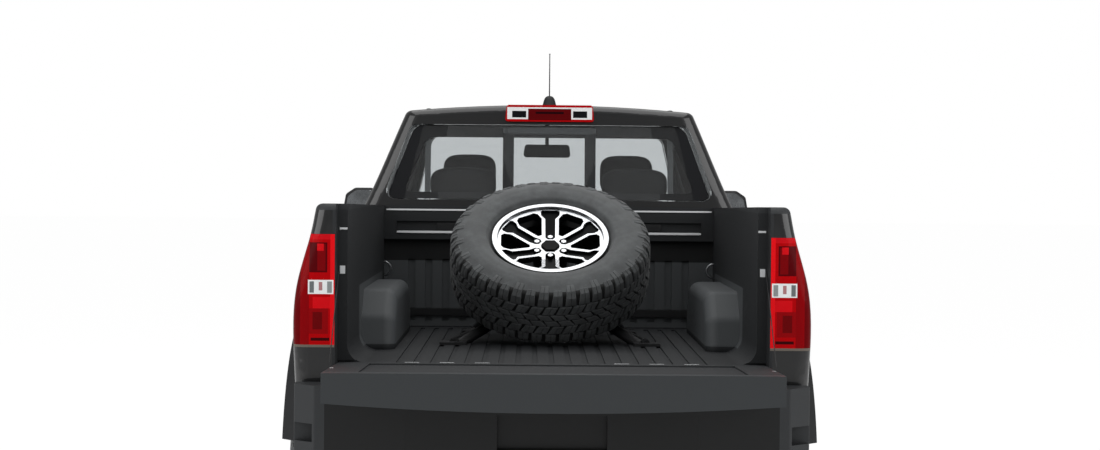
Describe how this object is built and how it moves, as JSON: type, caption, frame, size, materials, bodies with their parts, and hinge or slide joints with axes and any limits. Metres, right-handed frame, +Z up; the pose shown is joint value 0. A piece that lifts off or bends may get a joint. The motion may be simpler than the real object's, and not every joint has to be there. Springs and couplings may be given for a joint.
{
  "type": "pickup truck",
  "caption": "Crew-cab pickup truck with an open cargo bed, its tailgate down and a spare wheel leaning on a stand in the bed.",
  "frame": {"origin": "on the ground, at the middle of the truck's length with its tailgate down", "axes": "+Y forward, +X the truck's right side, +Z up"},
  "size_m": [2.1102, 5.7395, 2.052],
  "materials": {
    "body_paint": "gloss black clearcoat",
    "bed_liner": "coarse sprayed liner",
    "black_trim": "grained moulding",
    "glass": "clear",
    "tyre": "matt",
    "machined_alloy": "machined with black pockets",
    "chassis_black": "satin dip coat",
    "cast_iron": "rough",
    "red_lens": "moulded lens",
    "clear_lens": "moulded lens",
    "seat_cloth": "woven",
    "cabin_plastic": "grained",
    "steel": "satin"
  },
  "bodies": {
    "truck": {"cab_shell": "body_paint", "cab_glass": "glass", "front_fenders": "body_paint", "front_bumper": "black_trim", "grille": "black_trim", "headlamps": "clear_lens", "arch_flares": "black_trim", "cargo_box": "bed_liner", "rear_lamps": "red_lens", "rear_bumper": "black_trim", "antenna": "black_trim", "spare_carrier": "chassis_black", "spare_tyre": "tyre", "spare_rim": "machined_alloy", "ladder_frame": "chassis_black", "hitch_receiver": "chassis_black", "powertrain": "cast_iron", "driveline": "chassis_black", "rear_axle": "cast_iron", "rear_suspension": "steel", "front_suspension": "chassis_black", "exhaust": "steel", "fuel_tank": "black_trim", "seats": "seat_cloth", "dashboard": "cabin_plastic", "steering_wheel": "cabin_plastic", "cabin_mirror": "cabin_plastic", "tailgate_cables": "steel"},
    "steering_left": {"knuckle_left": "cast_iron"},
    "front_wheel_left": {"front_tyre_left": "tyre", "front_rim_left": "machined_alloy"},
    "front_door_left": {"front_door_left": "body_paint", "front_door_glass_left": "glass", "door_mirror_left": "black_trim"},
    "rear_wheel_left": {"rear_tyre_left": "tyre", "rear_rim_left": "machined_alloy"},
    "rear_door_left": {"rear_door_left": "body_paint", "rear_door_glass_left": "glass"},
    "steering_right": {"knuckle_right": "cast_iron"},
    "front_wheel_right": {"front_tyre_right": "tyre", "front_rim_right": "machined_alloy"},
    "front_door_right": {"front_door_right": "body_paint", "front_door_glass_right": "glass", "door_mirror_right": "black_trim"},
    "rear_wheel_right": {"rear_tyre_right": "tyre", "rear_rim_right": "machined_alloy"},
    "rear_door_right": {"rear_door_right": "body_paint", "rear_door_glass_right": "glass"},
    "hood": {"hood": "body_paint"},
    "tailgate": {"tailgate": "bed_liner"}
  },
  "joints": [
    {"name": "steer_left", "type": "hinge", "parent": "truck", "child": "steering_left", "pos_m": [-0.757, 1.94883, 0.388], "axis": [0, 0, 1], "range_deg": [-35, 35]},
    {"name": "front_wheel_left_spin", "type": "hinge", "parent": "steering_left", "child": "front_wheel_left", "pos_m": [-0.837, 1.94883, 0.388], "axis": [-1, 0, 0], "continuous": true},
    {"name": "front_door_left_hinge", "type": "hinge", "parent": "truck", "child": "front_door_left", "pos_m": [-0.914, 1.38983, 0.9], "axis": [0, 0, -1], "range_deg": [0, 65]},
    {"name": "rear_wheel_left_spin", "type": "hinge", "parent": "truck", "child": "rear_wheel_left", "pos_m": [-0.837, -1.31217, 0.388], "axis": [-1, 0, 0], "continuous": true},
    {"name": "rear_door_left_hinge", "type": "hinge", "parent": "truck", "child": "rear_door_left", "pos_m": [-0.914, 0.40383, 0.9], "axis": [0, 0, -1], "range_deg": [0, 65]},
    {"name": "steer_right", "type": "hinge", "parent": "truck", "child": "steering_right", "pos_m": [0.757, 1.94883, 0.388], "axis": [0, 0, 1], "range_deg": [-35, 35]},
    {"name": "front_wheel_right_spin", "type": "hinge", "parent": "steering_right", "child": "front_wheel_right", "pos_m": [0.837, 1.94883, 0.388], "axis": [-1, 0, 0], "continuous": true},
    {"name": "front_door_right_hinge", "type": "hinge", "parent": "truck", "child": "front_door_right", "pos_m": [0.914, 1.38983, 0.9], "axis": [0, 0, 1], "range_deg": [0, 65]},
    {"name": "rear_wheel_right_spin", "type": "hinge", "parent": "truck", "child": "rear_wheel_right", "pos_m": [0.837, -1.31217, 0.388], "axis": [-1, 0, 0], "continuous": true},
    {"name": "rear_door_right_hinge", "type": "hinge", "parent": "truck", "child": "rear_door_right", "pos_m": [0.914, 0.40383, 0.9], "axis": [0, 0, 1], "range_deg": [0, 65]},
    {"name": "hood_hinge", "type": "hinge", "parent": "truck", "child": "hood", "pos_m": [0, 1.54433, 1.224], "axis": [1, 0, 0], "range_deg": [0, 50]},
    {"name": "tailgate_hinge", "type": "hinge", "parent": "truck", "child": "tailgate", "pos_m": [0, -2.32617, 0.86], "axis": [-1, 0, 0], "range_deg": [0, 88], "deforming": ["tailgate_cables"]}
  ],
  "couplings": [
    {"joint": "steer_right", "follows": "steer_left", "ratio": 1}
  ]
}
